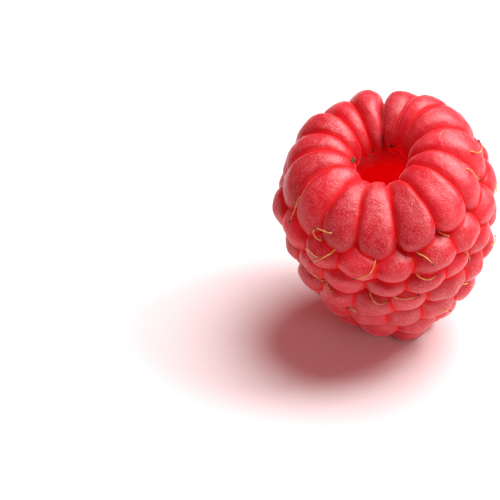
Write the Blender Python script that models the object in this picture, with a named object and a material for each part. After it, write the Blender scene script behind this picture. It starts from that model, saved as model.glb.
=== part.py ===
"""A picked raspberry, standing on its blunt tip with its mouth up.

The berry is one solid: some ninety drupelets that grew together around an open hollow. The
dried styles that still cling to it are separate hairs, each rooted in one drupelet.

World units are metres, +Z up, -Y is the front. Inside this file lengths are in millimetres, in
the berry's own upright frame, with the tip at the origin; settle() leans it as it really
stands. The finished model stands on Z = 0, with its bounding box centred on the origin.
"""
import math

import bmesh
import bpy
from mathutils import Matrix, Vector
from mathutils.bvhtree import BVHTree

MM = 0.001

# Rows of drupelets from below the rim down to the tip: how many, the height and the radius of
# their tops, how far their tops face up (degrees), the half height, and the turn of the row.
ROWS = (
    (16, 18.8, 12.00, -1.0, 1.9, 0.14),
    (16, 15.6, 11.75, -8.0, 1.85, -0.29),
    (15, 12.0, 10.95, -18.0, 1.9, 0.33),
    (13, 8.2, 9.30, -30.0, 2.0, 0.06),
    (10, 4.6, 6.95, -45.0, 2.0, 0.45),
    (6, 1.3, 3.90, -66.0, 2.0, 0.20),
    (1, 0.5, 0.10, -85.0, 1.7, 0.0),
)
DRUPELET_DEPTH = 2.4  # half of a drupelet, along its outward normal
SIDE_OVERLAP = 1.20  # how far neighbours in a row swell into each other
ROW_OVERLAP = 1.22  # how far a row swells into the rows above and below

# The rim: long drupelets that bend from inside the mouth, over the crest, to the outside.
RIM_COUNT = 15
RIM_TURN = -0.28
RIM_PATH = ((4.1, 21.0), (3.4, 24.3), (8.7, 24.9), (9.5, 19.5))  # radius and height of its middle
RIM_DEPTH = 2.3
RIM_UNDERSIDE = 0.6  # the share of that depth on the inside of the bend
RIM_OVERLAP = 1.32
RIM_PLUMPNESS = 2.8  # 2 is an ellipse, more is fuller towards the ends
RIM_SQUARENESS = 2.5  # the same for its cross-section

# The fused inner wall and the hollow in it, as turned profiles of radius and height.
WALL = (
    (0.0, 1.6), (3.2, 2.2), (6.0, 5.0), (8.0, 8.6), (9.4, 12.5), (9.9, 16.5),
    (9.6, 20.0), (8.2, 22.2), (6.2, 22.8), (4.8, 21.6), (3.4, 19.0), (0.0, 19.0),
)
HOLLOW = (
    (0.0, 6.8), (1.5, 7.2), (2.9, 9.6), (4.0, 13.0), (4.4, 16.0), (4.0, 18.4),
    (3.15, 20.4), (3.15, 31.0), (0.0, 31.0),
)
TURN_STEPS = 32

BERRY_HEIGHT = 26.5
LEAN = 8.5  # degrees to the left
MOUTH_SLOPE = 0.32  # slope of the rim, down towards the front
MOUTH_SAG = 0.008  # how much steeper it gets per millimetre towards the front
DIP = 1.0  # how much lower the rim's front middle lies than its neighbours
DIP_WIDTH = 3.4
FLAT_DEPTH = 0.6  # how much of the tip is pressed flat where the berry rests

DRUPELET_SEGMENTS = 11
DRUPELET_RINGS = 8

# The styles. Each is rooted in one drupelet: its row (0 is the first below the rim, RIM is the
# rim) and place (0 is at the front, counted rightwards), then where on it the root is (across
# and up, in half widths), the heading there and the bend of the whole hair (both in degrees,
# rightwards is 0, up is 90) and the length.
RIM = -1
FRONT_STYLES = (
    (RIM, -3, 0.9, 1.0, -75, -10, 3.2),
    (RIM, -2, 0.5, 0.1, -70, 150, 2.4),
    (RIM, -1, -0.3, 0.6, -170, 10, 2.6),
    (RIM, 3, 0.2, 1.5, -90, 20, 2.8),
    (RIM, 4, -0.6, 1.5, -90, 120, 4.0),
    (0, -2, 0.2, 0.5, 170, 10, 2.0),
    (0, -1, -1.1, 1.1, -140, 0, 3.2),
    (0, 0, -1.1, 1.0, -100, -80, 3.4),
    (0, 1, -1.1, 1.0, -20, -60, 2.2),
    (0, 2, -1.1, 0.7, 140, -20, 2.0),
    (0, 4, -0.8, -0.5, -20, 50, 2.0),
    (1, -2, 0.3, 0.5, -60, 20, 2.4),
    (1, 1, -0.4, 1.2, -70, 100, 2.8),
    (1, 2, 0.4, 0.7, -80, 20, 2.4),
    (2, -2, 0.2, 0.7, 160, 10, 2.0),
    (2, -1, 0.0, 1.2, -70, 100, 2.8),
    (2, 0, -0.9, 1.1, -35, 60, 3.2),
    (2, 2, -1.4, 0.2, -40, -10, 2.2),
    (2, 3, -0.6, 0.4, -10, 30, 1.6),
    (3, -1, 0.4, 0.9, 180, -20, 2.4),
    (3, 1, -0.1, 0.4, -50, 20, 1.4),
)
BACK_STYLES = (
    (RIM, 6), (RIM, 8), (0, 6), (0, 8), (0, 10), (1, 5), (1, 7), (1, 9), (1, 12),
    (2, 6), (2, 9), (3, 5), (3, 8),
)
RIM_OUTSIDE = (RIM_COUNT, 21.6, 11.3, 12.0, 2.2, RIM_TURN)  # the rim's outer ends, as in ROWS
STYLE_DIAMETER = 0.14
STYLE_ROOT = 0.4  # length inside the drupelet
CLEAR_OF_BERRY = 6.0  # from its plain outline, further than any drupelet swells
STYLE_LIFT = 0.22  # clear height over the drupelets that the hair crosses
STYLE_SPANS = 8  # straight spans of a hair
STYLE_FEELS = 3  # places in each span where the drupelets are felt

FLESH = (0.62, 0.03, 0.05, 1.0)
STYLE = (0.55, 0.33, 0.10, 1.0)


def spread(row, place, which):
    """A fixed pseudo-random value between -1 and 1."""
    x = math.sin(row * 12.9898 + place * 78.233 + which * 37.719) * 43758.5453
    return 2 * (x - math.floor(x)) - 1


def settle(p):
    """Where a point of the upright, regular berry lies in the real one, which leans."""
    share = max(0.0, p.z / BERRY_HEIGHT)
    drop = (MOUTH_SLOPE - MOUTH_SAG * p.y) * p.y * share**3
    frontness = min(1.0, max(0.0, -p.y / 4)) * math.exp(-((p.x / DIP_WIDTH) ** 2))
    drop -= DIP * frontness * share**3
    return Matrix.Rotation(math.radians(-LEAN), 3, "Y") @ Vector((p.x, p.y, p.z + drop))


def squared(part):
    """The sine or cosine of a circle, moved out to a squarer outline."""
    return math.copysign(abs(part) ** (2 / RIM_SQUARENESS), part)


def add_sphere(bm):
    """A unit sphere with its poles on Z, and its vertices."""
    made = bmesh.ops.create_uvsphere(bm, u_segments=DRUPELET_SEGMENTS, v_segments=DRUPELET_RINGS, radius=1)
    return made["verts"]


def add_side_drupelet(bm, row, place):
    """An egg of a drupelet below the rim. Its pole is on its outward normal."""
    count, height, radius, faces_up, half_height, turn = ROWS[row]
    pitch = math.tau / count
    half_width = radius * pitch / 2 if count > 1 else half_height
    size = 1 + 0.07 * spread(row, place, 2)
    a = pitch * (place + turn + 0.12 * spread(row, place, 0)) - math.pi / 2
    up = math.radians(faces_up + 5 * spread(row, place, 1))
    out = Vector((math.cos(up) * math.cos(a), math.cos(up) * math.sin(a), math.sin(up)))
    across = Vector((-math.sin(a), math.cos(a), 0))
    along = out.cross(across)
    top = Vector((radius * math.cos(a), radius * math.sin(a), height + 0.3 * spread(row, place, 3)))
    centre = top - out * (DRUPELET_DEPTH + 0.2 * spread(row, place, 4))
    axes = (
        across * half_width * SIDE_OVERLAP * size,
        along * half_height * ROW_OVERLAP * size,
        out * DRUPELET_DEPTH,
    )
    for v in add_sphere(bm):
        v.co = settle(centre + sum((axis * part for axis, part in zip(axes, v.co)), Vector())) * MM


def add_rim_drupelet(bm, place):
    """A long drupelet that bends over the rim. Its poles are its two ends."""
    pitch = math.tau / RIM_COUNT
    a = pitch * (place + RIM_TURN + 0.12 * spread(7, place, 0)) - math.pi / 2
    size = 1 + 0.08 * spread(7, place, 2)
    lip, rise, fall, end = (Vector(p) for p in RIM_PATH)
    end = end + Vector((0.2, 0.7)) * spread(7, place, 3)
    crest = Vector((0, 0.5)) * spread(7, place, 4)
    rise, fall = rise + crest, fall + crest
    outwards = Vector((math.cos(a), math.sin(a), 0))
    across = Vector((-math.sin(a), math.cos(a), 0))
    for v in add_sphere(bm):
        t = (v.co.z + 1) / 2
        s = 1 - t
        spot = lip * s**3 + rise * 3 * s**2 * t + fall * 3 * s * t**2 + end * t**3
        way = ((rise - lip) * s**2 + (fall - rise) * 2 * s * t + (end - fall) * t**2).normalized()
        normal = Vector((-way.y, way.x))
        ring = math.hypot(v.co.x, v.co.y)
        full = (1 - abs(v.co.z) ** RIM_PLUMPNESS) ** (1 / RIM_PLUMPNESS)
        x, y = (squared(part / ring) * full if ring > 1e-6 else 0 for part in v.co.xy)
        half_width = spot.x * pitch / 2 * RIM_OVERLAP * size
        depth = RIM_DEPTH * (0.7 + 0.3 * t) * (1 if y > 0 else RIM_UNDERSIDE)
        flat = spot + normal * y * depth
        v.co = settle(outwards * flat.x + Vector((0, 0, flat.y)) + across * x * half_width) * MM


def object_from(bm, name):
    """An object with this mesh."""
    mesh = bpy.data.meshes.new(name)
    bm.to_mesh(mesh)
    bm.free()
    return bpy.data.objects.new(name, mesh)


def turned(name, profile):
    """A closed solid turned from a profile of (radius, height)."""
    bm = bmesh.new()
    points = [bm.verts.new((radius, 0, height)) for radius, height in profile]
    edges = [bm.edges.new(pair) for pair in zip(points, points[1:])]
    bmesh.ops.spin(
        bm, geom=points + edges, axis=(0, 0, 1), cent=(0, 0, 0),
        angle=math.tau, steps=TURN_STEPS, use_merge=True,
    )
    bmesh.ops.remove_doubles(bm, verts=bm.verts, dist=0.001)
    bmesh.ops.recalc_face_normals(bm, faces=bm.faces)
    for v in bm.verts:
        v.co = settle(v.co) * MM
    return object_from(bm, name)


def drupelet_sets():
    """Every drupelet as an egg of its own, in sets within which none touches another."""
    sets = {}
    for row, count in enumerate([*(row[0] for row in ROWS), RIM_COUNT]):
        layer = "rim" if row == len(ROWS) else "even" if row % 2 == 0 else "odd"
        for place in range(count):
            turn = 2 if count % 2 and place == count - 1 else place % 2
            bm = sets.setdefault((layer, turn), bmesh.new())
            if layer == "rim":
                add_rim_drupelet(bm, place)
            else:
                add_side_drupelet(bm, row, place)
    made = []
    for number, bm in enumerate(sets.values(), start=1):
        bmesh.ops.recalc_face_normals(bm, faces=bm.faces)
        made.append(object_from(bm, f"drupelets_{number}"))
    return made


def floor_block(level):
    """A block whose top is at this height, to press the resting drupelets flat."""
    size = 2 * BERRY_HEIGHT * MM
    bm = bmesh.new()
    bmesh.ops.create_cube(bm, size=size)
    bmesh.ops.translate(bm, verts=bm.verts, vec=(0, 0, level - size / 2))
    return object_from(bm, "floor_cutter")


def boolean(obj, other, operation):
    """Adds an exact Boolean to obj."""
    modifier = obj.modifiers.new(f"{operation.title()} {other.name}", "BOOLEAN")
    modifier.operation = operation
    modifier.object = other
    modifier.solver = "EXACT"


def finished_mesh(obj):
    """The mesh of an object with its modifiers applied."""
    graph = bpy.context.evaluated_depsgraph_get()
    return bpy.data.meshes.new_from_object(obj.evaluated_get(graph), depsgraph=graph)


def outside(angle, height):
    """The plain outline through the drupelets' tops: a point of it and its outward normal."""
    rows = [RIM_OUTSIDE, *ROWS]
    above = max((i for i, row in enumerate(rows[:-1]) if row[1] >= height), default=0)
    (_, top, r0, up0, *_), (_, bottom, r1, up1, *_) = rows[above], rows[above + 1]
    share = (top - height) / (top - bottom)
    radius = r0 + (r1 - r0) * share
    up = math.radians(up0 + (up1 - up0) * share)
    round_about = Vector((math.cos(angle), math.sin(angle), 0))
    normal = round_about * math.cos(up) + Vector((0, 0, math.sin(up)))
    return round_about * radius + Vector((0, 0, height)), normal


def over_valleys(steps, levels):
    """The levels of a thread that is drawn tight over these levels."""
    tight = list(levels)
    for i in range(len(steps)):
        for j in range(i):
            for k in range(i + 1, len(steps)):
                share = (steps[i] - steps[j]) / (steps[k] - steps[j])
                tight[i] = max(tight[i], levels[j] + (levels[k] - levels[j]) * share)
    return tight


def style_path(skin, row, place, across, up, heading, bend, length):
    """The points of a hair that leaves a drupelet and lies over its neighbours."""
    count, height, radius, faces_up, half_height, turn = RIM_OUTSIDE if row == RIM else ROWS[row]
    pitch = math.tau / count
    angle = pitch * (place + turn + across / 2) - math.pi / 2
    level = height + up * half_height
    count = STYLE_SPANS * STYLE_FEELS
    steps, spots, reliefs = [], [], []
    for i in range(count + 1):
        t = i / count
        spot, normal = outside(angle, level)
        start = settle(spot + normal * CLEAR_OF_BERRY)
        inwards = (settle(spot) - start).normalized()
        hit = skin.ray_cast(start * MM, inwards)[0] / MM
        steps.append(t * length)
        spots.append((settle(spot), -inwards))
        reliefs.append((hit - settle(spot)).dot(-inwards))
        way = math.radians(heading + bend * t)
        angle += length / count * math.cos(way) / math.hypot(*spot.xy)
        level += length / count * math.sin(way) * math.hypot(*normal.xy)
    lifts = [relief + STYLE_LIFT for relief in over_valleys(steps, reliefs)]
    lifts[0] = reliefs[0] - STYLE_ROOT
    laid = [spot + normal * lift for (spot, normal), lift in zip(spots, lifts)]
    return laid[::STYLE_FEELS]


def add_style(name, points):
    """A hair: a thin round wire through the points, with closed ends."""
    curve = bpy.data.curves.new(name, "CURVE")
    curve.dimensions = "3D"
    curve.bevel_depth = STYLE_DIAMETER / 2 * MM
    curve.bevel_resolution = 2
    curve.use_fill_caps = True
    spline = curve.splines.new("POLY")
    spline.points.add(len(points) - 1)
    for point, at in zip(spline.points, points):
        point.co = (*(at * MM), 1)
    spline.use_smooth = True
    return bpy.data.objects.new(name, curve)


def all_styles():
    """Every style: the ones at the front as they lie, the ones at the back by rule."""
    made = list(FRONT_STYLES)
    for row, place in BACK_STYLES:
        heading = -60 + 110 * spread(row, place, 5)
        bend = 80 * spread(row, place, 6)
        length = 2.6 + 0.8 * spread(row, place, 7)
        made.append((row, place, 0.4 * spread(row, place, 8), 0.3, heading, bend, length))
    return made


def painted(name, colour, roughness):
    """A plain material of this colour."""
    material = bpy.data.materials.new(name)
    material.use_nodes = True
    shader = material.node_tree.nodes["Principled BSDF"]
    shader.inputs["Base Color"].default_value = colour
    shader.inputs["Roughness"].default_value = roughness
    shader.inputs["Metallic"].default_value = 0
    return material


def main():
    for old in list(bpy.data.objects):
        bpy.data.objects.remove(old)
    raspberry = bpy.data.collections.new("raspberry")
    cutters = bpy.data.collections.new("cutters")
    bpy.context.scene.collection.children.link(raspberry)
    bpy.context.scene.collection.children.link(cutters)

    berry = turned("berry", WALL)
    drupelets = drupelet_sets()
    lowest = min(v.co.z for egg in drupelets for v in egg.data.vertices)
    floor = lowest + FLAT_DEPTH * MM
    hollow = turned("hollow_cutter", HOLLOW)
    ground = floor_block(floor)
    raspberry.objects.link(berry)
    for cutter in (*drupelets, hollow, ground):
        cutters.objects.link(cutter)
        cutter.hide_render = True
        cutter.display_type = "WIRE"
    for eggs in drupelets:
        boolean(berry, eggs, "UNION")
    boolean(berry, hollow, "DIFFERENCE")
    boolean(berry, ground, "DIFFERENCE")
    berry.data.materials.append(painted("flesh", FLESH, 0.45))

    whole = finished_mesh(berry)
    skin = BVHTree.FromPolygons([v.co for v in whole.vertices], [p.vertices for p in whole.polygons])
    hair = painted("style", STYLE, 0.6)
    styles = []
    for number, style in enumerate(all_styles(), start=1):
        styles.append(add_style(f"style_{number:02d}", style_path(skin, *style)))
        styles[-1].data.materials.append(hair)
        raspberry.objects.link(styles[-1])

    # the origin goes on the resting surface, under the middle of the whole
    bpy.context.view_layer.update()
    corners = [v.co for v in whole.vertices]
    corners.extend(Vector(corner) for style in styles for corner in style.bound_box)
    middle = [(min(c[i] for c in corners) + max(c[i] for c in corners)) / 2 for i in (0, 1)]
    for piece in (berry, *drupelets, hollow, ground, *styles):
        piece.location = (-middle[0], -middle[1], -floor)
    bpy.data.meshes.remove(whole)


main()
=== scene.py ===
import logging
import math
from dataclasses import dataclass, field
from enum import Enum

import bmesh
import bpy
import numpy as np
from mathutils import Matrix, Vector, noise
from mathutils.bvhtree import BVHTree
from mathutils.kdtree import KDTree


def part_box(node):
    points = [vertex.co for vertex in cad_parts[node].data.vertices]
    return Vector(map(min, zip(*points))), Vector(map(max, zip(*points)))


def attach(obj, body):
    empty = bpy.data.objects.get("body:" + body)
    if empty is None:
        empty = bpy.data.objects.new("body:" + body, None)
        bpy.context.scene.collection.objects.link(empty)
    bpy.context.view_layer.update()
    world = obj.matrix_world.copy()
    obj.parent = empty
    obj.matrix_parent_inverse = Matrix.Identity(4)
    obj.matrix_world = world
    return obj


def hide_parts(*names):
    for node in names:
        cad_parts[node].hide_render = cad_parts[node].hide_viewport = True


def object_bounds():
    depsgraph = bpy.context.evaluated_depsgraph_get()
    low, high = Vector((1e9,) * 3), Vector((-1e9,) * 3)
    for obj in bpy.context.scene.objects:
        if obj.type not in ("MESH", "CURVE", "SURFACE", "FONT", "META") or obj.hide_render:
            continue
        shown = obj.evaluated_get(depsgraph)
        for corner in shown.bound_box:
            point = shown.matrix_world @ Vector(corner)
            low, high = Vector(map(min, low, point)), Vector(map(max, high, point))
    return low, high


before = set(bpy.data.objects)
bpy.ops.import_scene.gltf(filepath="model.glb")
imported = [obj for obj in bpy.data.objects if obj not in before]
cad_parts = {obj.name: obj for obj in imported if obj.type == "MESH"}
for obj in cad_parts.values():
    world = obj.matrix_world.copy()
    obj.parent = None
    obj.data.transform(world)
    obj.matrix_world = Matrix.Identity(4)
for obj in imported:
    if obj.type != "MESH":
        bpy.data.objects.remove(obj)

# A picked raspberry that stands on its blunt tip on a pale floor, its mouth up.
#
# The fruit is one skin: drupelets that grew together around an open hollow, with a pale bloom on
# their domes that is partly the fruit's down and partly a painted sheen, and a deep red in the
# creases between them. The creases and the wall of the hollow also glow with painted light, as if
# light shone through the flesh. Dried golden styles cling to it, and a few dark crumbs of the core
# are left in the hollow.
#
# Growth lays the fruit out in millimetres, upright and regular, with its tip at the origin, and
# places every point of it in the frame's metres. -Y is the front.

CAD_BOX: tuple[Vector, Vector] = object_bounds()
MM: float = 0.001
Colour = tuple[float, float, float]
REPORT = logging.getLogger("raspberry")
RIM: int = -1  # the number that a hair gives for the row that bends over the rim


def spread(row: int, place: int, which: int) -> float:
    """A fixed pseudo-random value between -1 and 1 for one drupelet.

    Args:
        row: The drupelet's row.
        place: Its place in the row.
        which: Which of its values is asked for.

    Returns:
        A value between -1 and 1, the same in every run.
    """
    x = math.sin(row * 12.9898 + place * 78.233 + which * 37.719) * 43758.5453
    return 2 * (x - math.floor(x)) - 1


def face_outwards(bm: bmesh.types.BMesh) -> None:
    """Turns the faces of one closed solid so that they all point outwards.

    Args:
        bm: The solid, whose signed volume tells which way its faces point.
    """
    bmesh.ops.recalc_face_normals(bm, faces=bm.faces)
    if bm.calc_volume(signed=True) < 0:
        bmesh.ops.reverse_faces(bm, faces=bm.faces)


class Cut(Enum):
    """What a boolean does with the other solid."""

    JOIN = "UNION"
    TAKE_AWAY = "DIFFERENCE"


@dataclass(frozen=True)
class Row:
    """One ring of drupelets below the rim, in millimetres and degrees."""

    count: int
    height: float
    radius: float
    faces_up: float
    half_height: float
    turn: float

    @property
    def pitch(self) -> float:
        """The angle from one drupelet to the next."""
        return math.tau / self.count

    @property
    def half_width(self) -> float:
        """Half of a drupelet's share of the ring."""
        return self.radius * self.pitch / 2 if self.count > 1 else self.half_height


@dataclass
class Growth:
    """The layout of the whole fruit and the way that it leans."""

    rows: tuple[Row, ...] = (
        Row(16, 18.8, 12.00, -1.0, 1.90, 0.14),
        Row(16, 15.6, 11.75, -8.0, 1.85, -0.29),
        Row(15, 12.0, 10.95, -18.0, 1.90, 0.33),
        Row(13, 8.2, 9.30, -30.0, 2.00, 0.06),
        Row(10, 4.6, 6.95, -45.0, 2.00, 0.45),
        Row(6, 1.3, 3.90, -66.0, 2.00, 0.20),
        Row(1, 0.5, 0.10, -85.0, 1.70, 0.0),
    )
    rim: Row = Row(15, 21.6, 11.3, 12.0, 2.2, -0.28)
    rim_path: tuple[tuple[float, float], ...] = ((4.1, 21.0), (3.4, 24.3), (8.7, 24.9), (9.5, 19.5))
    height: float = 26.5
    lean: float = 8.5
    mouth_slope: float = 0.32
    mouth_sag: float = 0.008
    dip: float = 1.0
    dip_width: float = 3.4
    scale: Vector = field(default_factory=lambda: Vector((1, 1, 1)))
    shift: Vector = field(default_factory=Vector)

    def settle(self, p: Vector) -> Vector:
        """Where a point of the upright fruit lies once it leans, still in millimetres.

        Args:
            p: A point of the regular, upright fruit.

        Returns:
            The same point with the rim sloping to the front and the whole leaning left.
        """
        share = max(0.0, p.z / self.height)
        drop = (self.mouth_slope - self.mouth_sag * p.y) * p.y * share**3
        frontness = min(1.0, max(0.0, -p.y / 4)) * math.exp(-((p.x / self.dip_width) ** 2))
        drop -= self.dip * frontness * share**3
        turned = Matrix.Rotation(math.radians(-self.lean), 3, "Y")
        return turned @ Vector((p.x, p.y, p.z + drop))

    def place(self, p: Vector) -> Vector:
        """A point of the upright fruit in the frame's metres."""
        q = self.settle(p) * MM
        return Vector(a * b for a, b in zip(q, self.scale)) + self.shift

    def fit(self, vertices: list[bmesh.types.BMVert], box: tuple[Vector, Vector]) -> None:
        """Finds the scale and shift that put the grown fruit inside its CAD node's box.

        Args:
            vertices: The vertices of the fruit as it was first placed.
            box: The lowest and highest corner that it has to fill.
        """
        spots = np.array([v.co for v in vertices])
        low, high = Vector(spots.min(0)), Vector(spots.max(0))
        want = box[1] - box[0]
        sides = min(1.0, want.x / (high.x - low.x), want.y / (high.y - low.y))
        self.scale = Vector((sides, sides, 1.0))
        middle = (low + high) / 2 * sides
        self.shift = Vector((
            (box[0].x + box[1].x) / 2 - middle.x,
            (box[0].y + box[1].y) / 2 - middle.y,
            box[1].z - high.z,
        ))
        for v in vertices:
            v.co = Vector(a * b for a, b in zip(v.co, self.scale)) + self.shift

    def outside(self, angle: float, height: float) -> tuple[Vector, Vector]:
        """The plain outline through the tops of the drupelets.

        Args:
            angle: The direction from the axis, in radians.
            height: The height above the tip, in millimetres.

        Returns:
            A point of the outline and its outward normal, on the upright fruit.
        """
        rows = (self.rim, *self.rows)
        above = max((i for i, row in enumerate(rows[:-1]) if row.height >= height), default=0)
        top, bottom = rows[above], rows[above + 1]
        share = (top.height - height) / (top.height - bottom.height)
        radius = top.radius + (bottom.radius - top.radius) * share
        up = math.radians(top.faces_up + (bottom.faces_up - top.faces_up) * share)
        about = Vector((math.cos(angle), math.sin(angle), 0))
        normal = about * math.cos(up) + Vector((0, 0, math.sin(up)))
        return about * radius + Vector((0, 0, height)), normal


@dataclass(frozen=True)
class GrainGroup:
    """A shared node group: fine grain of two sizes, as a mask and as a height."""

    name: str = "fine grain"
    detail: float = 3.0
    coarse_share: float = 3.0

    def build(self) -> bpy.types.NodeTree:
        """Makes the group once.

        Returns:
            The node group, with Fine and Coarse sizes in millimetres as inputs.
        """
        known = bpy.data.node_groups.get(self.name)
        if known:
            return known
        tree = bpy.data.node_groups.new(self.name, "ShaderNodeTree")
        face = tree.interface
        face.new_socket("Fine", in_out="INPUT", socket_type="NodeSocketFloat").default_value = 0.12
        face.new_socket("Coarse", in_out="INPUT", socket_type="NodeSocketFloat").default_value = 0.7
        for name in ("Grain", "Blotch", "Height"):
            face.new_socket(name, in_out="OUTPUT", socket_type="NodeSocketFloat")
        nodes, links = tree.nodes, tree.links
        start, end = nodes.new("NodeGroupInput"), nodes.new("NodeGroupOutput")
        coordinates = nodes.new("ShaderNodeTexCoord")
        textures: dict[str, bpy.types.Node] = {}
        for size, result in (("Fine", "Grain"), ("Coarse", "Blotch")):
            scale = nodes.new("ShaderNodeMath")
            scale.operation = "DIVIDE"
            scale.inputs[0].default_value = 1000.0
            links.new(start.outputs[size], scale.inputs[1])
            texture = nodes.new("ShaderNodeTexNoise")
            texture.inputs["Detail"].default_value = self.detail
            links.new(coordinates.outputs["Object"], texture.inputs["Vector"])
            links.new(scale.outputs[0], texture.inputs["Scale"])
            links.new(texture.outputs["Fac"], end.inputs[result])
            textures[result] = texture
        height = nodes.new("ShaderNodeMath")
        height.operation = "MULTIPLY_ADD"
        height.inputs[1].default_value = self.coarse_share
        links.new(textures["Blotch"].outputs["Fac"], height.inputs[0])
        links.new(textures["Grain"].outputs["Fac"], height.inputs[2])
        links.new(height.outputs[0], end.inputs["Height"])
        return tree


class Paint:
    """A small helper that wires the nodes of one material."""

    def __init__(self, name: str) -> None:
        """Starts a material with a Principled shader.

        Args:
            name: The material's name.
        """
        self.material = bpy.data.materials.new(name)
        self.material.use_nodes = True
        self.nodes = self.material.node_tree.nodes
        self.links = self.material.node_tree.links
        self.shader = self.nodes["Principled BSDF"]

    def join(self, source: bpy.types.NodeSocket, target: bpy.types.NodeSocket) -> None:
        """Links two sockets."""
        self.links.new(source, target)

    def group(self, tree: bpy.types.NodeTree, **values: float) -> bpy.types.Node:
        """Places a node group.

        Args:
            tree: The group.
            **values: Its inputs, by name.

        Returns:
            The group's node.
        """
        node = self.nodes.new("ShaderNodeGroup")
        node.node_tree = tree
        for name, value in values.items():
            node.inputs[name].default_value = value
        return node

    def attribute(self, name: str) -> bpy.types.NodeSocket:
        """Reads one of the mesh's own attributes.

        Args:
            name: The attribute's name.

        Returns:
            Its value.
        """
        node = self.nodes.new("ShaderNodeAttribute")
        node.attribute_name = name
        return node.outputs["Fac"]

    def ramp(self, source: bpy.types.NodeSocket, low: float, high: float,
             to_low: float = 0.0, to_high: float = 1.0) -> bpy.types.NodeSocket:
        """Maps a value smoothly from one range to another.

        Args:
            source: The value.
            low: Where it gives to_low.
            high: Where it gives to_high.
            to_low: The result at the low end.
            to_high: The result at the high end.

        Returns:
            The mapped value.
        """
        node = self.nodes.new("ShaderNodeMapRange")
        node.interpolation_type = "SMOOTHSTEP"
        for socket, value in zip(node.inputs[1:5], (low, high, to_low, to_high)):
            socket.default_value = value
        self.join(source, node.inputs[0])
        return node.outputs[0]

    def blend(self, share: bpy.types.NodeSocket, first: bpy.types.NodeSocket | Colour,
              second: bpy.types.NodeSocket | Colour) -> bpy.types.NodeSocket:
        """Mixes two colours, each a socket or a plain colour.

        Args:
            share: How much of the second.
            first: The colour at 0.
            second: The colour at 1.

        Returns:
            The mixed colour.
        """
        node = self.nodes.new("ShaderNodeMix")
        node.data_type = "RGBA"
        self.join(share, node.inputs["Factor"])
        for socket, colour in ((node.inputs[6], first), (node.inputs[7], second)):
            if isinstance(colour, bpy.types.NodeSocket):
                self.join(colour, socket)
            else:
                socket.default_value = (*colour, 1.0)
        return node.outputs[2]

    def times(self, first: bpy.types.NodeSocket,
              second: bpy.types.NodeSocket | float) -> bpy.types.NodeSocket:
        """Multiplies a value by a socket or a number, and keeps the result between 0 and 1.

        Args:
            first: The value.
            second: What it is multiplied by.

        Returns:
            The product.
        """
        node = self.nodes.new("ShaderNodeMath")
        node.operation = "MULTIPLY"
        node.use_clamp = True
        self.join(first, node.inputs[0])
        if isinstance(second, bpy.types.NodeSocket):
            self.join(second, node.inputs[1])
        else:
            node.inputs[1].default_value = second
        return node.outputs[0]

    def larger(self, first: bpy.types.NodeSocket, second: bpy.types.NodeSocket) -> bpy.types.NodeSocket:
        """Takes the larger of two values.

        Args:
            first: One value.
            second: The other.

        Returns:
            The larger one.
        """
        node = self.nodes.new("ShaderNodeMath")
        node.operation = "MAXIMUM"
        self.join(first, node.inputs[0])
        self.join(second, node.inputs[1])
        return node.outputs[0]

    def bump(self, height: bpy.types.NodeSocket, strength: float, depth: float) -> None:
        """Bumps the surface.

        Args:
            height: The height of the bumps.
            strength: How strongly they show.
            depth: How far a height of 1 stands out, in millimetres.
        """
        node = self.nodes.new("ShaderNodeBump")
        node.inputs["Strength"].default_value = strength
        node.inputs["Distance"].default_value = depth * MM
        self.join(height, node.inputs["Height"])
        self.join(node.outputs["Normal"], self.shader.inputs["Normal"])

    def constant(self, **values: object) -> None:
        """Sets the shader's own sockets, with underscores for the spaces in their names."""
        for name, value in values.items():
            self.shader.inputs[name.replace("_", " ")].default_value = value


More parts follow.
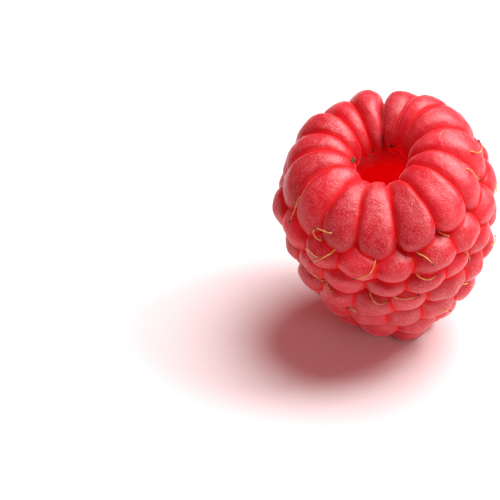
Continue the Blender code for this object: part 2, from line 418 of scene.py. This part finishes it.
@dataclass(frozen=True)
class FleshFinish:
    """Ripe raspberry skin: pink-red domes with a pale bloom that is partly a painted sheen, and a pure red
    in the creases; the creases and the hollow's wall glow with painted light.
    """

    dome: Colour = (0.70, 0.008, 0.026)
    shade: Colour = (0.52, 0.003, 0.014)
    crease: Colour = (0.68, 0.000, 0.004)
    # Pale bloom: partly the fruit's own pale down, partly a painted sheen on the domes.
    bloom_and_sheen: Colour = (0.90, 0.33, 0.37)
    # The hollow's wall: its own pure red, set brighter than the domes as painted light shining through the
    # thin flesh.
    hollow: Colour = (0.85, 0.000, 0.004)
    # Painted glow: emission that makes the creases and the hollow's wall give off red light of their own, as
    # if light shone through the flesh.
    painted_glow: Colour = (1.0, 0.000, 0.006)
    haze_and_sheen: float = 0.09
    speckle: float = 0.30
    # How much of the painted glow the creases get, and how strong the painted glow is.
    painted_glow_in_creases: float = 0.55
    painted_glow_strength: float = 0.15
    roughness: tuple[float, float] = (0.31, 0.47)
    crease_roughness: float = 0.9
    flesh_depth: float = 2.4
    grain_depth: float = 0.08

    def material(self) -> bpy.types.Material:
        """Builds the material.

        Returns:
            A material that reads the attributes depth, tint and hollow of the skin.
        """
        paint = Paint("raspberry skin")
        grain = paint.group(GrainGroup().build(), Fine=0.16, Coarse=1.1)
        depth, tint = paint.attribute("depth"), paint.attribute("tint")
        crease, dome = paint.ramp(depth, 0.08, 0.55, 1.0, 0.0), paint.ramp(depth, 0.3, 1.1)
        hollow = paint.attribute("hollow")
        colour = paint.blend(paint.ramp(tint, 0.0, 1.0), self.shade, self.dome)
        speckle = paint.ramp(grain.outputs["Grain"], 0.46, 0.68)
        blotch = paint.ramp(grain.outputs["Blotch"], 0.38, 0.66, 0.25, 1.0)
        # Pale bloom in blotches on the domes, away from the creases: partly the fruit's pale down, partly a
        # painted sheen. The speckle is the down's pale dots.
        haze_and_sheen = paint.times(paint.times(dome, blotch), self.haze_and_sheen)
        colour = paint.blend(haze_and_sheen, colour, self.bloom_and_sheen)
        colour = paint.blend(paint.times(paint.times(speckle, dome), self.speckle), colour, self.bloom_and_sheen)
        colour = paint.blend(crease, colour, self.crease)
        colour = paint.blend(hollow, colour, self.hollow)
        paint.join(colour, paint.shader.inputs["Base Color"])
        # Painted glow: the creases, and fully the hollow's wall, emit red light as if lit through the flesh.
        painted_glow_mix = paint.blend(paint.times(crease, self.painted_glow_in_creases), (0.0, 0.0, 0.0), self.painted_glow)
        painted_glow_mix = paint.blend(hollow, painted_glow_mix, self.painted_glow)
        paint.join(painted_glow_mix, paint.shader.inputs["Emission Color"])
        rough = paint.ramp(grain.outputs["Blotch"], 0.3, 0.7, *self.roughness)
        rough = paint.larger(rough, paint.times(crease, self.crease_roughness))
        paint.join(rough, paint.shader.inputs["Roughness"])
        paint.bump(grain.outputs["Height"], 0.55, self.grain_depth)
        paint.constant(
            Subsurface_Weight=0.75, Subsurface_Radius=(1.0, 0.08, 0.06),
            Subsurface_Scale=self.flesh_depth * MM,
            Sheen_Weight=0.55, Sheen_Roughness=0.25, Sheen_Tint=(1.0, 0.82, 0.84, 1.0),
            IOR=1.55, Emission_Strength=self.painted_glow_strength,
        )
        return paint.material


@dataclass(frozen=True)
class StyleFinish:
    """A dried style: dull gold that turns dark brown towards its end."""

    gold: Colour = (0.58, 0.28, 0.05)
    straw: Colour = (0.78, 0.50, 0.17)
    dark: Colour = (0.055, 0.018, 0.006)
    dark_from: float = 0.72
    dark_to: float = 0.97
    grain_depth: float = 0.02

    def material(self) -> bpy.types.Material:
        """Builds the material.

        Returns:
            A material that reads the attribute along of a hair, 0 at its root and 1 at its end.
        """
        paint = Paint("dried style")
        grain = paint.group(GrainGroup().build(), Fine=0.08, Coarse=0.5)
        along = paint.attribute("along")
        colour = paint.blend(paint.ramp(grain.outputs["Blotch"], 0.4, 0.6), self.gold, self.straw)
        colour = paint.blend(paint.ramp(along, self.dark_from, self.dark_to), colour, self.dark)
        paint.join(colour, paint.shader.inputs["Base Color"])
        paint.join(paint.ramp(grain.outputs["Grain"], 0.3, 0.7, 0.4, 0.65), paint.shader.inputs["Roughness"])
        paint.bump(grain.outputs["Height"], 0.4, self.grain_depth)
        paint.constant(Subsurface_Weight=0.2, Subsurface_Radius=(1.0, 0.5, 0.2), Subsurface_Scale=0.0001)
        return paint.material


@dataclass(frozen=True)
class CrumbFinish:
    """The dark, dry crumbs that the core leaves behind."""

    bark: Colour = (0.035, 0.012, 0.006)
    moss: Colour = (0.22, 0.13, 0.02)
    grain_depth: float = 0.04

    def material(self) -> bpy.types.Material:
        """Builds the material.

        Returns:
            A brown material with dull green patches.
        """
        paint = Paint("core crumb")
        grain = paint.group(GrainGroup().build(), Fine=0.1, Coarse=0.35)
        paint.join(paint.blend(paint.ramp(grain.outputs["Blotch"], 0.45, 0.6), self.bark, self.moss),
                   paint.shader.inputs["Base Color"])
        paint.join(paint.ramp(grain.outputs["Grain"], 0.3, 0.7, 0.6, 0.9), paint.shader.inputs["Roughness"])
        paint.bump(grain.outputs["Height"], 0.5, self.grain_depth)
        return paint.material


@dataclass
class Berry:
    """The fruit itself, one skin from the lip down to the tip."""

    growth: Growth
    finish: FleshFinish = FleshFinish()
    depth: float = 2.4
    depth_spread: float = 0.2
    size_spread: float = 0.07
    turn_spread: float = 0.12
    tilt_spread: float = 5.0
    rise_spread: float = 0.3
    side_overlap: float = 1.20
    row_overlap: float = 1.22
    rim_depth: float = 2.3
    rim_underside: float = 0.6
    rim_overlap: float = 1.32
    rim_plumpness: float = 2.8
    rim_squareness: float = 2.5
    rim_size_spread: float = 0.08
    rim_end_spread: tuple[float, float] = (0.2, 0.7)
    rim_crest_spread: float = 0.5
    dent_size: float = 1.5
    dent_depth: float = 0.16
    meridians: int = 44
    rings: int = 30
    sharp: float = 35.0
    cutter_size: float = 60.0
    foot_cut: float = 0.03
    mouth_height: float = 26.0
    # The reach of the hollow's bright red and of its painted glow, in millimetres.
    red_reach: float = 0.8
    red_fade: float = 0.5
    red_below: float = 23.2
    red_rise: float = 2.8
    red_above: float = 6.0
    crease_step: float = 0.15
    deepest: float = 2.0
    wall: tuple[tuple[float, float], ...] = (
        (0.0, 1.6), (3.2, 2.2), (6.0, 5.0), (8.0, 8.6), (9.4, 12.5), (9.9, 16.5),
        (9.6, 20.0), (8.2, 22.2), (6.2, 22.8), (4.8, 21.6), (3.4, 19.0), (0.0, 19.0),
    )
    hollow: tuple[tuple[float, float], ...] = (
        (0.0, 6.8), (1.5, 7.2), (2.9, 9.6), (4.0, 13.0), (4.4, 16.0), (4.0, 18.4),
        (3.5, 19.9), (0.0, 19.9),
    )
    spines: list[Vector] = field(default_factory=list)
    owners: list[int] = field(default_factory=list)
    shape: bpy.types.Object | None = None

    def sphere(self) -> bmesh.types.BMesh:
        """Makes the shape that every drupelet starts from.

        Returns:
            A unit sphere in a mesh of its own, its poles on Z.
        """
        bm = bmesh.new()
        bmesh.ops.create_uvsphere(bm, u_segments=self.meridians, v_segments=self.rings, radius=1)
        return bm

    def side_drupelet(self, number: int, place: int) -> bmesh.types.BMesh:
        """Shapes an egg-like drupelet below the rim, its pole on its outward normal.

        Args:
            number: The number of its row.
            place: Its place in the row.

        Returns:
            The drupelet's own mesh.
        """
        bm = self.sphere()
        row = self.growth.rows[number]
        size = 1 + self.size_spread * spread(number, place, 2)
        turn = place + row.turn + self.turn_spread * spread(number, place, 0)
        a = row.pitch * turn - math.pi / 2
        up = math.radians(row.faces_up + self.tilt_spread * spread(number, place, 1))
        out = Vector((math.cos(up) * math.cos(a), math.cos(up) * math.sin(a), math.sin(up)))
        across = Vector((-math.sin(a), math.cos(a), 0))
        along = out.cross(across)
        rise = row.height + self.rise_spread * spread(number, place, 3)
        top = Vector((row.radius * math.cos(a), row.radius * math.sin(a), rise))
        centre = top - out * (self.depth + self.depth_spread * spread(number, place, 4))
        axes = (
            across * row.half_width * self.side_overlap * size,
            along * row.half_height * self.row_overlap * size,
            out * self.depth,
        )
        for v in bm.verts:
            v.co = self.growth.place(centre + axes[0] * v.co.x + axes[1] * v.co.y + axes[2] * v.co.z)
        self.mark(centre + out * self.depth * 0.4)
        return bm

    def rim_drupelet(self, place: int) -> bmesh.types.BMesh:
        """Shapes a long drupelet that bends over the rim, its poles at its two ends.

        Args:
            place: Its place along the rim.

        Returns:
            The drupelet's own mesh.
        """
        bm = self.sphere()
        rim, number = self.growth.rim, len(self.growth.rows)
        turn = place + rim.turn + self.turn_spread * spread(number, place, 0)
        a = rim.pitch * turn - math.pi / 2
        size = 1 + self.rim_size_spread * spread(number, place, 2)
        lip, rise, fall, end = (Vector(p) for p in self.growth.rim_path)
        end = end + Vector(self.rim_end_spread) * spread(number, place, 3)
        crest = Vector((0, self.rim_crest_spread)) * spread(number, place, 4)
        rise, fall = rise + crest, fall + crest
        outwards = Vector((math.cos(a), math.sin(a), 0))
        across = Vector((-math.sin(a), math.cos(a), 0))
        first = len(self.owners)
        for v in bm.verts:
            t = (v.co.z + 1) / 2
            spot, way = self.along_curve((lip, rise, fall, end), t)
            normal = Vector((-way.y, way.x))
            ring = math.hypot(v.co.x, v.co.y)
            full = (1 - abs(v.co.z) ** self.rim_plumpness) ** (1 / self.rim_plumpness)
            x, y = (self.squared(part / ring) * full if ring > 1e-6 else 0.0 for part in v.co.xy)
            half_width = spot.x * rim.pitch / 2 * self.rim_overlap * size
            depth = self.rim_depth * (0.7 + 0.3 * t) * (1 if y > 0 else self.rim_underside)
            flat = spot + normal * y * depth
            v.co = self.growth.place(
                outwards * flat.x + Vector((0, 0, flat.y)) + across * x * half_width
            )
        for i in range(1, 10):
            spot, _ = self.along_curve((lip, rise, fall, end), i / 10)
            self.mark(outwards * spot.x + Vector((0, 0, spot.y)), first)
        return bm

    @staticmethod
    def along_curve(points: tuple[Vector, Vector, Vector, Vector], t: float) -> tuple[Vector, Vector]:
        """A point of a cubic Bezier curve and its direction there.

        Args:
            points: The curve's two ends with its two handles between them.
            t: How far along, from 0 to 1.

        Returns:
            The point and a unit vector along the curve.
        """
        a, b, c, d = points
        s = 1 - t
        spot = a * s**3 + b * 3 * s**2 * t + c * 3 * s * t**2 + d * t**3
        way = (b - a) * s**2 + (c - b) * 2 * s * t + (d - c) * t**2
        return spot, way.normalized()

    def make_uneven(self, bm: bmesh.types.BMesh, number: int) -> None:
        """Gives one drupelet the slight dents and swellings of its own.

        Args:
            bm: The drupelet, in the frame's metres.
            number: Its number, so that no two are alike.
        """
        middle = sum((v.co for v in bm.verts), Vector()) / len(bm.verts)
        for v in bm.verts:
            at = v.co / (self.dent_size * MM) + Vector((3.7, 1.9, 5.3)) * number
            v.co += (v.co - middle).normalized() * (noise.noise(at) - 0.3) * self.dent_depth * MM

    def squared(self, part: float) -> float:
        """The sine or cosine of a circle, moved out to a squarer outline."""
        return math.copysign(abs(part) ** (2 / self.rim_squareness), part)

    def mark(self, spot: Vector, owner: int | None = None) -> None:
        """Notes a point inside a drupelet, so that the skin can be told whose it is.

        Args:
            spot: The point, on the upright fruit.
            owner: The drupelet's number, or None for a new one.
        """
        self.spines.append(spot)
        self.owners.append(len(self.owners) if owner is None else owner)

    def turned(self, profile: tuple[tuple[float, float], ...], name: str) -> bpy.types.Object:
        """Turns a closed solid from a profile.

        Args:
            profile: Its points, each a radius and a height in millimetres.
            name: The object's name.

        Returns:
            The object.
        """
        bm = bmesh.new()
        points = [bm.verts.new((radius, 0, height)) for radius, height in profile]
        edges = [bm.edges.new(pair) for pair in zip(points, points[1:])]
        bmesh.ops.spin(
            bm, geom=points + edges, axis=(0, 0, 1), cent=(0, 0, 0),
            angle=math.tau, steps=64, use_merge=True,
        )
        bmesh.ops.remove_doubles(bm, verts=bm.verts, dist=0.001)
        for v in bm.verts:
            v.co = self.growth.place(v.co)
        face_outwards(bm)
        return self.object_from(bm, name)

    def grow(self) -> bpy.types.Object:
        """Builds the skin.

        Returns:
            The finished object, at the world's origin.
        """
        grown = [
            self.side_drupelet(number, place)
            for number, row in enumerate(self.growth.rows) for place in range(row.count)
        ]
        grown.extend(self.rim_drupelet(place) for place in range(self.growth.rim.count))
        for number, bm in enumerate(grown):
            face_outwards(bm)
            self.make_uneven(bm, number)
        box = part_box("berry")
        self.growth.fit([v for bm in grown for v in bm.verts], box)
        core = self.turned(self.wall, "core")
        eggs = [self.object_from(bm, "drupelet") for bm in grown]
        hollow = self.turned(self.hollow, "hollow cutter")
        bm = bmesh.new()
        size = self.cutter_size * MM
        bmesh.ops.create_cube(bm, size=size)
        bmesh.ops.translate(bm, verts=bm.verts, vec=(0, 0, box[0].z - size / 2 + self.foot_cut * MM))
        floor = self.object_from(bm, "floor cutter")
        for other in eggs:
            self.boolean(core, other, Cut.JOIN)
        self.boolean(core, hollow, Cut.TAKE_AWAY)
        self.boolean(core, floor, Cut.TAKE_AWAY)
        graph = bpy.context.evaluated_depsgraph_get()
        skin = bpy.data.meshes.new_from_object(core.evaluated_get(graph), depsgraph=graph)
        for made in (core, *eggs, hollow, floor):
            bpy.data.objects.remove(made)
        skin.name = "raspberry_skin"
        skin.materials.clear()
        self.shape = bpy.data.objects.new("raspberry_skin", skin)
        bpy.context.scene.collection.objects.link(self.shape)
        return self.shape

    @staticmethod
    def boolean(body: bpy.types.Object, other: bpy.types.Object, cut: Cut) -> None:
        """Joins another solid to a body, or takes it away."""
        made = body.modifiers.new(other.name, "BOOLEAN")
        made.operation, made.object, made.solver = cut.value, other, "MANIFOLD"

    @staticmethod
    def object_from(bm: bmesh.types.BMesh, name: str) -> bpy.types.Object:
        """Turns a bmesh into a linked object.

        Args:
            bm: The mesh, which is freed.
            name: The object's name.

        Returns:
            The object.
        """
        mesh = bpy.data.meshes.new(name)
        bm.to_mesh(mesh)
        bm.free()
        made = bpy.data.objects.new(name, mesh)
        bpy.context.scene.collection.objects.link(made)
        return made

    def hollowness(self, mesh: bpy.types.Mesh) -> np.ndarray:
        """How far inside the mouth each vertex lies, which places the wall's bright red and its painted
        glow.

        Args:
            mesh: The skin.

        Returns:
            1 on the wall of the hollow and 0 outside, one value a vertex.
        """
        count = len(mesh.vertices)
        spots = np.empty(count * 3)
        mesh.vertices.foreach_get("co", spots)
        spots = spots.reshape(-1, 3)
        bottom = self.hollow[0][1]
        low = self.growth.place(Vector((0, 0, bottom)))
        high = self.growth.place(Vector((0, 0, self.mouth_height)))
        axis = np.array(high - low)
        length = float(np.linalg.norm(axis))
        axis /= length
        rise = (spots - np.array(low)) @ axis
        away = np.linalg.norm(spots - np.array(low) - rise[:, None] * axis, axis=1) / MM
        height = bottom + rise / MM
        inside = np.interp(height, [p[1] for p in self.hollow[:-1]], [p[0] for p in self.hollow[:-1]])
        wall = np.clip((self.red_reach - (away - inside)) / self.red_fade, 0, 1)
        rim_fade = np.clip((self.red_below - height) / self.red_rise, 0, 1)
        return wall * rim_fade * (height > self.red_above)

    def creases(self, mesh: bpy.types.Mesh) -> KDTree:
        """Marks the sharp edges and collects points along the creases between drupelets.

        Args:
            mesh: The skin, which gets its sharp edges.

        Returns:
            A tree of points, close together along every crease.
        """
        bm = bmesh.new()
        bm.from_mesh(mesh)
        points: list[Vector] = []
        for face in bm.faces:
            face.smooth = True
        for edge in bm.edges:
            edge.smooth = abs(edge.calc_face_angle(0.0)) < math.radians(self.sharp)
            if edge.calc_face_angle_signed(0.0) < -math.radians(self.sharp):
                steps = 1 + int(edge.calc_length() / (self.crease_step * MM))
                a, b = (v.co for v in edge.verts)
                points.extend(a.lerp(b, (i + 0.5) / steps) for i in range(steps))
        bm.to_mesh(mesh)
        bm.free()
        tree = KDTree(len(points))
        for i, point in enumerate(points):
            tree.insert(point, i)
        tree.balance()
        return tree

    def paint_attributes(self) -> None:
        """Writes the attributes that the finish reads.

        They are depth, the distance to the nearest crease in millimetres; tint, one value a
        drupelet; and hollow, which is 1 on the wall of the hollow.
        """
        mesh = self.shape.data
        creases = self.creases(mesh)
        spines = KDTree(len(self.spines))
        for i, spot in enumerate(self.spines):
            spines.insert(self.growth.place(spot), i)
        spines.balance()
        tints = [0.5 + 0.5 * spread(3, owner, 11) for owner in range(len(self.owners))]
        values = {
            "depth": [min(self.deepest, creases.find(v.co)[2] / MM) for v in mesh.vertices],
            "tint": [tints[self.owners[spines.find(v.co)[1]]] for v in mesh.vertices],
            "hollow": self.hollowness(mesh),
        }
        for name, value in values.items():
            layer = mesh.attributes.new(name, "FLOAT", "POINT")
            layer.data.foreach_set("value", np.asarray(value, dtype=np.float32))

    def build(self) -> bpy.types.Object:
        """Grows the skin, paints it and puts it in the CAD node's place.

        Returns:
            The skin.
        """
        self.grow()
        self.paint_attributes()
        self.shape.data.materials.append(self.finish.material())
        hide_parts("berry")
        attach(self.shape, "root")
        return self.shape

    def feeler(self) -> BVHTree:
        """A tree of the skin's faces, which rays are cast at."""
        mesh = self.shape.data
        return BVHTree.FromPolygons([v.co for v in mesh.vertices], [p.vertices for p in mesh.polygons])


@dataclass(frozen=True)
class Hair:
    """One style: where it is rooted, and how it lies.

    Its row and place name a drupelet. Across is its root's distance from the drupelet's middle, in
    half places, and up the same in half heights. It heads and bends in degrees from the ring's
    direction, and its length is in millimetres.
    """

    row: int
    place: int
    across: float
    up: float
    heading: float
    bend: float
    length: float


@dataclass
class Styles:
    """The dried styles that cling to the fruit."""

    growth: Growth
    skin: BVHTree
    finish: StyleFinish = StyleFinish()
    front: tuple[Hair, ...] = (
        Hair(RIM, -3, 0.9, 1.0, -75, -10, 3.2),
        Hair(RIM, -2, 0.5, 0.1, -70, 150, 2.4),
        Hair(RIM, -1, -0.3, 0.6, -170, 10, 2.6),
        Hair(RIM, 3, 0.2, 1.5, -90, 20, 2.8),
        Hair(RIM, 4, -0.6, 1.5, -90, 120, 4.0),
        Hair(0, -2, 0.2, 0.5, 170, 10, 2.0),
        Hair(0, -1, -1.1, 1.1, -140, 0, 3.2),
        Hair(0, 0, -1.1, 1.0, -100, -80, 3.4),
        Hair(0, 1, -1.1, 1.0, -20, -60, 2.2),
        Hair(0, 2, -1.1, 0.7, 140, -20, 2.0),
        Hair(0, 4, -0.8, -0.5, -20, 50, 2.0),
        Hair(1, -2, 0.3, 0.5, -60, 20, 2.4),
        Hair(1, 1, -0.4, 1.2, -70, 100, 2.8),
        Hair(1, 2, 0.4, 0.7, -80, 20, 2.4),
        Hair(2, -2, 0.2, 0.7, 160, 10, 2.0),
        Hair(2, -1, 0.0, 1.2, -70, 100, 2.8),
        Hair(2, 0, -0.9, 1.1, -35, 60, 3.2),
        Hair(2, 2, -1.4, 0.2, -40, -10, 2.2),
        Hair(2, 3, -0.6, 0.4, -10, 30, 1.6),
        Hair(3, -1, 0.4, 0.9, 180, -20, 2.4),
        Hair(3, 1, -0.1, 0.4, -50, 20, 1.4),
    )
    back: tuple[tuple[int, int], ...] = (
        (RIM, 6), (RIM, 8), (0, 6), (0, 8), (0, 10), (1, 5), (1, 7), (1, 9), (1, 12),
        (2, 6), (2, 9), (3, 5), (3, 8),
    )
    thickness: float = 0.075
    root: float = 0.4
    lift: float = 0.16
    reach: float = 6.0
    rooted: float = 0.12
    room: float = 1.7
    spans: int = 26
    sides: int = 7
    taper: float = 0.35
    knob: float = 0.9
    knob_at: float = 0.965
    knob_length: float = 0.03
    blunt: float = 0.45
    back_heading: tuple[float, float] = (-60.0, 110.0)
    back_bend: float = 80.0
    back_length: tuple[float, float] = (2.6, 0.8)
    back_across: float = 0.4
    back_up: float = 0.3

    def hairs(self) -> list[Hair]:
        """Lists every hair: the ones at the front as they lie, the ones at the back by rule.

        Returns:
            The hairs, in the order of their CAD nodes.
        """
        made = list(self.front)
        for row, place in self.back:
            heading = self.back_heading[0] + self.back_heading[1] * spread(row, place, 5)
            bend = self.back_bend * spread(row, place, 6)
            length = self.back_length[0] + self.back_length[1] * spread(row, place, 7)
            across = self.back_across * spread(row, place, 8)
            made.append(Hair(row, place, across, self.back_up, heading, bend, length))
        return made

    def path(self, hair: Hair) -> list[Vector]:
        """The line of a hair that leaves a drupelet and lies over its neighbours.

        Args:
            hair: The hair.

        Returns:
            Points in the frame's metres, from inside the drupelet to the free end.
        """
        row = self.growth.rim if hair.row == RIM else self.growth.rows[hair.row]
        angle = row.pitch * (hair.place + row.turn + hair.across / 2) - math.pi / 2
        level = row.height + hair.up * row.half_height
        steps, feet, normals, reliefs = [], [], [], []
        for i in range(self.spans + 1):
            t = i / self.spans
            spot, normal = self.growth.outside(angle, level)
            start, foot = self.growth.place(spot + normal * self.reach), self.growth.place(spot)
            outwards = (start - foot).normalized()
            hit = self.skin.ray_cast(start, -outwards)[0]
            steps.append(t * hair.length)
            feet.append(foot)
            normals.append(outwards)
            reliefs.append((hit - foot).dot(outwards) / MM)
            way = math.radians(hair.heading + hair.bend * t)
            angle += hair.length / self.spans * math.cos(way) / math.hypot(*spot.xy)
            level += hair.length / self.spans * math.sin(way) * math.hypot(*normal.xy)
        lifts = self.drawn_tight(steps, reliefs)
        points = []
        for i, (foot, outwards) in enumerate(zip(feet, normals)):
            t = i / self.spans
            rising = min(1.0, t / self.rooted)
            lift = reliefs[i] * (1 - rising) + lifts[i] * rising
            lift += self.lift * (rising + 0.9 * t**3) - self.root * (1 - rising) ** 2
            points.append(self.kept_inside(foot + outwards * lift * MM))
        for _ in range(2):
            points = [points[0]] + [
                (a + b * 2 + c) / 4 for a, b, c in zip(points, points[1:], points[2:])
            ] + [points[-1]]
        return points

    def kept_inside(self, point: Vector) -> Vector:
        """Moves a point back into the part's box, with room for the hair's thickness.

        Args:
            point: The point.

        Returns:
            The nearest point that has that room.
        """
        room = self.room * self.thickness * MM
        low, high = CAD_BOX
        return Vector(min(max(p, a + room), b - room) for p, a, b in zip(point, low, high))

    @staticmethod
    def drawn_tight(steps: list[float], levels: list[float]) -> list[float]:
        """The levels of a thread that is drawn tight over the given levels.

        Args:
            steps: The distance along the thread of each level.
            levels: The levels that it must stay over.

        Returns:
            The thread's own level at each step.
        """
        tight = list(levels)
        for i in range(len(steps)):
            for j in range(i):
                for k in range(i + 1, len(steps)):
                    share = (steps[i] - steps[j]) / (steps[k] - steps[j])
                    tight[i] = max(tight[i], levels[j] + (levels[k] - levels[j]) * share)
        return tight

    def hair_mesh(self, points: list[Vector], name: str) -> bpy.types.Object:
        """Draws one hair as a round, closed thread with a swollen end.

        Args:
            points: Its line.
            name: The object's name.

        Returns:
            The object, with the attribute along from root to end.
        """
        bm = bmesh.new()
        along = bm.verts.layers.float.new("along")
        made = bmesh.ops.create_circle(bm, cap_ends=True, segments=self.sides, radius=1.0)
        ring, face = made["verts"], bm.faces[:][0]
        last = len(points) - 1
        side = Vector((0, 0, 1))
        for i, point in enumerate(points):
            t = i / last
            way = (points[min(i + 1, last)] - points[max(i - 1, 0)]).normalized()
            side = (side - way * side.dot(way)).normalized()
            other = way.cross(side)
            swell = 1 - self.taper * t + self.knob * math.exp(-((t - self.knob_at) / self.knob_length) ** 2)
            radius = self.thickness * MM * swell * (self.blunt if i == last else 1.0)
            if i:
                grown = bmesh.ops.extrude_face_region(bm, geom=[face])["geom"]
                if i > 1 and face.is_valid:
                    bm.faces.remove(face)
                face = next(g for g in grown if isinstance(g, bmesh.types.BMFace))
                ring = list(face.verts)
            for k, v in enumerate(ring):
                turn = math.tau * k / len(ring)
                v.co = point + (side * math.cos(turn) + other * math.sin(turn)) * radius
                v[along] = t
        face_outwards(bm)
        mesh = bpy.data.meshes.new(name)
        bm.to_mesh(mesh)
        bm.free()
        mesh.shade_smooth()
        made_hair = bpy.data.objects.new(name, mesh)
        bpy.context.scene.collection.objects.link(made_hair)
        return made_hair

    def build(self) -> list[bpy.types.Object]:
        """Draws every hair in the place of its CAD node.

        Returns:
            The hairs' objects.
        """
        material = self.finish.material()
        made = []
        for number, hair in enumerate(self.hairs(), start=1):
            thread = self.hair_mesh(self.path(hair), f"style_hair_{number:02d}")
            thread.data.materials.append(material)
            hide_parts(f"style_{number:02d}")
            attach(thread, "root")
            made.append(thread)
        return made


@dataclass
class Crumbs:
    """What the core left behind: dark specks on the far wall, and a scrap at the left lip."""

    growth: Growth
    skin: BVHTree
    finish: CrumbFinish = CrumbFinish()
    specks: tuple[tuple[float, float, float], ...] = (
        (63, 22.5, 0.22), (88, 22.1, 0.15), (103, 21.9, 0.19), (118, 21.7, 0.13), (76, 22.3, 0.10),
    )
    scraps: tuple[tuple[float, float, float], ...] = (
        (172, 23.2, 0.36), (181, 23.5, 0.30), (165, 22.8, 0.24),
    )

    def build(self) -> bpy.types.Object:
        """Scatters the crumbs on the wall of the hollow.

        Returns:
            One object with every crumb, each a small closed lump pressed into the wall.
        """
        bm = bmesh.new()
        for number, (direction, height, size) in enumerate(self.specks + self.scraps):
            a = math.radians(direction)
            centre = self.growth.place(Vector((0, 0, height)))
            outwards = (self.growth.place(Vector((math.cos(a), math.sin(a), height))) - centre).normalized()
            spot, normal, *_ = self.skin.ray_cast(centre, outwards)
            turned = normal.to_track_quat("Z", "Y").to_matrix().to_4x4()
            lump = bmesh.ops.create_icosphere(bm, subdivisions=2, radius=1.0)["verts"]
            for v in lump:
                wobble = 1 + 0.22 * math.sin(5 * v.co.x + 3 * v.co.y + number * 2.1)
                v.co = Vector((v.co.x * wobble, v.co.y * 0.8 * wobble, v.co.z * 0.5)) * size * MM
            bmesh.ops.transform(bm, matrix=Matrix.Translation(spot) @ turned, verts=lump)
        mesh = bpy.data.meshes.new("core_crumbs")
        bm.to_mesh(mesh)
        bm.free()
        mesh.shade_smooth()
        crumbs = bpy.data.objects.new("core_crumbs", mesh)
        bpy.context.scene.collection.objects.link(crumbs)
        crumbs.data.materials.append(self.finish.material())
        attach(crumbs, "root")
        return crumbs


@dataclass(frozen=True)
class Lamp:
    """A soft round lamp, with its place and diameter in metres and its power in watts."""

    name: str
    spot: tuple[float, float, float]
    size: float
    power: float


@dataclass
class Studio:
    """The pale floor, the soft lights and the camera."""

    lens: float = 135.0
    sensor: float = 36.0
    elevation: float = 38.0
    distance: float = 0.2027
    aim: tuple[float, float] = (-0.01438, -0.0027)
    half_light: float = 0.30
    rose: Colour = (1.0, 0.20, 0.21)
    floor_size: float = 1.5
    lit_height: float = 0.013
    lamps: tuple[Lamp, ...] = (
        Lamp("key", (0.10, 0.07, 0.30), 0.26, 1.32),
        Lamp("side", (0.20, 0.03, 0.22), 0.10, 0.34),
        Lamp("front", (0.16, -0.24, 0.14), 0.16, 0.13),
    )

    def floor(self) -> bpy.types.Object:
        """Lays a plain pale floor under the fruit.

        Returns:
            The floor, which is studio and not part of the fruit.
        """
        bm = bmesh.new()
        bmesh.ops.create_grid(bm, x_segments=8, y_segments=8, size=self.floor_size)
        mesh = bpy.data.meshes.new("floor")
        bm.to_mesh(mesh)
        bm.free()
        floor = bpy.data.objects.new("floor", mesh)
        bpy.context.scene.collection.objects.link(floor)
        paint = Paint("pale floor")
        grain = paint.group(GrainGroup().build(), Fine=2.0, Coarse=30.0)
        paint.join(paint.blend(grain.outputs["Blotch"], (0.93, 0.93, 0.93), (0.95, 0.95, 0.95)),
                   paint.shader.inputs["Base Color"])
        paint.constant(Roughness=0.8)
        floor.data.materials.append(paint.material)
        return floor

    def hang(self, lamp: Lamp) -> None:
        """Hangs one lamp so that it faces the fruit.

        Args:
            lamp: The lamp.
        """
        light = bpy.data.lights.new(lamp.name, "AREA")
        light.shape, light.energy, light.size = "DISK", lamp.power, lamp.size
        made = bpy.data.objects.new(lamp.name, light)
        bpy.context.scene.collection.objects.link(made)
        made.location = lamp.spot
        middle = Vector((0, 0, self.lit_height))
        made.rotation_euler = (middle - made.location).to_track_quat("-Z", "Y").to_euler()

    def camera(self) -> None:
        """Sets up the camera, in front of the fruit and above it."""
        e = math.radians(self.elevation)
        back = Vector((0, -math.cos(e), math.sin(e)))
        up = back.cross(Vector((1, 0, 0)))
        low, high = CAD_BOX
        target = (low + high) / 2 + Vector((1, 0, 0)) * self.aim[0] + up * self.aim[1]
        data = bpy.data.cameras.new("camera")
        data.lens, data.sensor_width, data.clip_start = self.lens, self.sensor, 0.001
        made = bpy.data.objects.new("camera", data)
        bpy.context.scene.collection.objects.link(made)
        made.location = target + back * self.distance
        made.rotation_mode = "QUATERNION"
        made.rotation_quaternion = (-back).to_track_quat("-Z", "Y")
        bpy.context.scene.camera = made

    def air(self) -> None:
        """Fills the air with a rosy half-light, as between other berries, seen as white."""
        world = bpy.data.worlds.new("studio air")
        bpy.context.scene.world = world
        world.use_nodes = True
        nodes, links = world.node_tree.nodes, world.node_tree.links
        path, mix = nodes.new("ShaderNodeLightPath"), nodes.new("ShaderNodeMix")
        mix.data_type = "RGBA"
        links.new(path.outputs["Is Camera Ray"], mix.inputs["Factor"])
        mix.inputs[6].default_value = (*(self.half_light * c for c in self.rose), 1.0)
        mix.inputs[7].default_value = (1.0, 1.0, 1.0, 1.0)
        links.new(mix.outputs[2], nodes["Background"].inputs["Color"])

    def build(self) -> None:
        """Sets the floor, the lights, the air and the camera."""
        self.floor()
        for lamp in self.lamps:
            self.hang(lamp)
        self.air()
        bpy.context.scene.view_settings.view_transform = "Standard"
        self.camera()


def main() -> None:
    """Builds the fruit, its styles, the crumbs and the studio."""
    logging.basicConfig(level=logging.INFO, format="%(name)s: %(message)s")
    growth = Growth()
    berry = Berry(growth)
    skin = berry.build()
    REPORT.info("%s: %d faces", skin.name, len(skin.data.polygons))
    feeler = berry.feeler()
    hairs = Styles(growth, feeler).build()
    REPORT.info("%d styles", len(hairs))
    crumbs = Crumbs(growth, feeler).build()
    REPORT.info("%s: %d faces", crumbs.name, len(crumbs.data.polygons))
    Studio().build()


if __name__ == "__main__":
    main()
